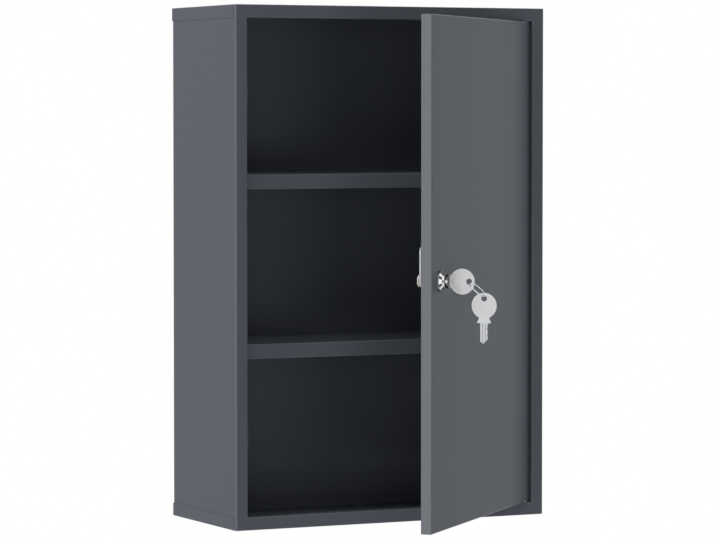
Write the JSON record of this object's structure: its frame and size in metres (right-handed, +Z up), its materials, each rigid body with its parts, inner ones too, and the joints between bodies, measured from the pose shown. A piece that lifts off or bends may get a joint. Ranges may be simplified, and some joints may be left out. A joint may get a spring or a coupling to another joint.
{
  "type": "medicine cabinet",
  "caption": "Wall-mounted steel medicine cabinet with two shelves and a hinged lockable door, a cam lock, and keys on a ring.",
  "frame": {"origin": "middle of the base, between the side panels and between front and back", "axes": "+X to the right seen from the front, +Y from the front to the wall, +Z up; the door faces -Y"},
  "size_m": [0.4012, 0.4582, 0.6],
  "materials": {
    "paint": "satin",
    "bright_steel": "satin",
    "zinc_plate": "satin",
    "key_nickel": "satin",
    "ring_steel": "polished",
    "lock_chrome": "polished",
    "plug_nickel": "satin",
    "plug_brass": "satin",
    "nylon": "matte",
    "buffer_rubber": "matte"
  },
  "bodies": {
    "cabinet": {"left_side_panel": "paint", "right_side_panel": "paint", "back_panel": "paint", "top_cap": "paint", "bottom_cap": "paint", "upper_shelf": "paint", "lower_shelf": "paint", "upper_shelf_left_ledge": "paint", "upper_shelf_right_ledge": "paint", "lower_shelf_left_ledge": "paint", "lower_shelf_right_ledge": "paint", "door_stop_brackets": "paint", "door_stop_buffers": "buffer_rubber", "upper_hinge_pin": "bright_steel", "lower_hinge_pin": "bright_steel"},
    "door": {"door_shell": "paint", "door_stiffener": "paint", "upper_hinge_plate": "bright_steel", "lower_hinge_plate": "bright_steel", "upper_hinge_bush": "nylon", "lower_hinge_bush": "nylon", "lock_housing": "lock_chrome", "lock_nut": "zinc_plate"},
    "lock_core": {"lock_plug": "plug_nickel", "lock_wafers": "plug_brass", "lock_stop_washer": "zinc_plate", "lock_cam": "zinc_plate", "cam_washer": "zinc_plate", "cam_nut": "zinc_plate"},
    "key": {"key": "key_nickel"},
    "key_ring": {"key_ring": "ring_steel"},
    "spare_key": {"spare_key": "key_nickel"}
  },
  "joints": [
    {"name": "door_hinge", "type": "hinge", "parent": "cabinet", "child": "door", "pos_m": [0.17592, -0.0835, 0.3], "axis": [0, 0, 1], "range_deg": [-44.2, 65.8]},
    {"name": "lock_turn", "type": "hinge", "parent": "door", "child": "lock_core", "pos_m": [-0.05858, -0.32061, 0.2924], "axis": [0.6972, -0.7169, 0], "range_deg": [0, 90]},
    {"name": "key_slide", "type": "slide", "parent": "lock_core", "child": "key", "axis": [0.6972, -0.7169, 0], "range_m": [0, 0.032]},
    {"name": "key_ring_swing", "type": "hinge", "parent": "key", "child": "key_ring", "pos_m": [-0.03484, -0.34502, 0.2924], "axis": [0.7169, 0.6972, 0], "range_deg": [-42, 36]},
    {"name": "spare_key_swing", "type": "hinge", "parent": "key_ring", "child": "spare_key", "pos_m": [-0.02287, -0.35732, 0.27694], "axis": [0.7169, 0.6972, 0], "range_deg": [-80, 3]}
  ]
}
